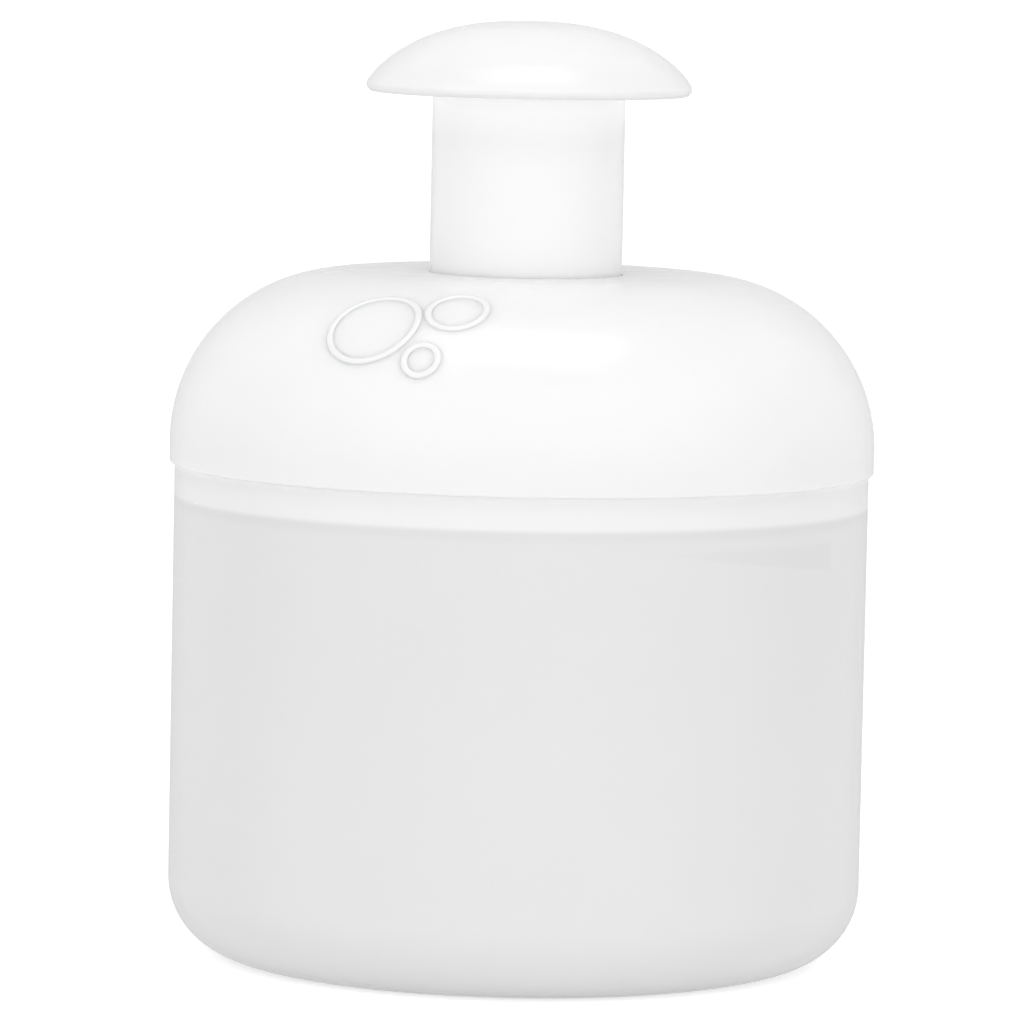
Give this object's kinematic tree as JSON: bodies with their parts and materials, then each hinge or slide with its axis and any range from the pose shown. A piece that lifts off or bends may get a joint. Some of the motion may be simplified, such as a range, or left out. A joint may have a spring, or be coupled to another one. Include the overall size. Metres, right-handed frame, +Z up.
{
  "type": "foam maker",
  "caption": "Hand-pumped foam maker: round translucent cup, domed push-in lid, and a mushroom-knobbed plunger rod with a perforated whisk.",
  "frame": {"origin": "centre of the face that the cup stands on", "axes": "+Z is up along the plunger rod and is the round body's axis; the raised emblem is on the -Y side of the lid, to the left"},
  "size_m": [0.075, 0.075, 0.1],
  "materials": {
    "milky_shell": "milky translucent polypropylene, satin gloss",
    "white_shell": "glossy opaque white polypropylene",
    "whisk_plastic": "natural white polypropylene, satin",
    "net_strand": "white nylon net",
    "soft_seal": "soft translucent white silicone"
  },
  "bodies": {
    "cup": {"cup": "milky_shell"},
    "gasket": {"lid_gasket": "soft_seal"},
    "lid": {"lid_dome": "white_shell", "lid_liner": "white_shell", "wiper_retainer": "white_shell"},
    "wiper": {"rod_wiper": "soft_seal"},
    "plunger": {"rod": "white_shell", "knob_cap": "white_shell", "whisk_hub": "whisk_plastic", "whisk_upper_plate": "whisk_plastic", "whisk_net": "net_strand", "whisk_net_frame": "whisk_plastic", "whisk_lower_plate": "whisk_plastic", "whisk_lock_cap": "whisk_plastic"}
  },
  "joints": [
    {"name": "lid_lift", "type": "slide", "parent": "cup", "child": "gasket", "axis": [0, 0, 1], "range_m": [0, 0.075]},
    {"name": "lid_turn", "type": "hinge", "parent": "gasket", "child": "lid", "pos_m": [0, 0, 0.0527], "axis": [0, 0, 1], "continuous": true},
    {"name": "plunger_spin", "type": "hinge", "parent": "lid", "child": "wiper", "pos_m": [0, 0, 0.055], "axis": [0, 0, 1], "continuous": true},
    {"name": "plunger_slide", "type": "slide", "parent": "wiper", "child": "plunger", "axis": [0, 0, 1], "range_m": [-0.0188, 0.018]}
  ]
}
